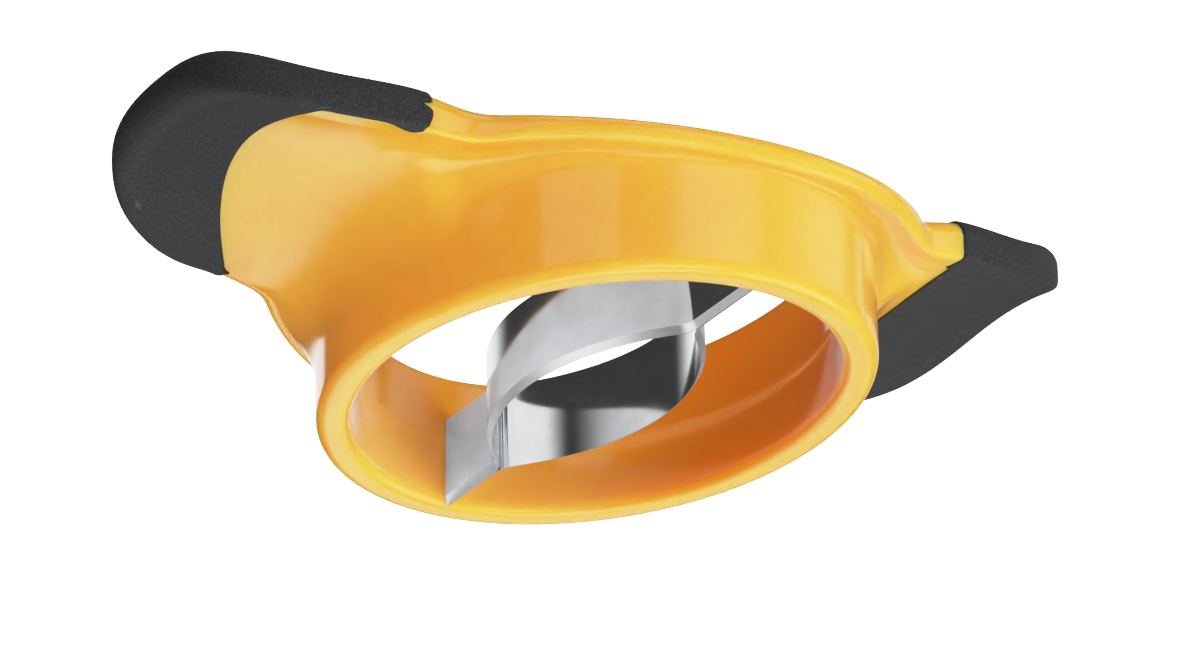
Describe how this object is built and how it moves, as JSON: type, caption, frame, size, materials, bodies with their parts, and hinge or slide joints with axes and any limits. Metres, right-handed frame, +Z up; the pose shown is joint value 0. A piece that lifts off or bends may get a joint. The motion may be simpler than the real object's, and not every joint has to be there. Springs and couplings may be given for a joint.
{
  "type": "mango slicer",
  "caption": "Oval plastic ring with raised paddle handles in soft grips and steel strips that part round a mango's stone; pushed down over the fruit to slice it.",
  "frame": {"origin": "centre of the oval ring on the plane of its cutting rim", "axes": "+X along the handles to the right handle of the picture, +Y along the steel strips, +Z up towards the handles"},
  "size_m": [0.173, 0.121, 0.0432],
  "materials": {
    "frame_plastic": "glossy moulded plastic, yellow orange, a little translucent",
    "grip_rubber": "matte black soft rubber with a fine grain",
    "strip_steel": "bright rolled stainless strip with a ground lower edge"
  },
  "bodies": {
    "root": {"frame": "frame_plastic", "left_grip": "grip_rubber", "right_grip": "grip_rubber", "left_strip": "strip_steel", "right_strip": "strip_steel"}
  },
  "joints": []
}
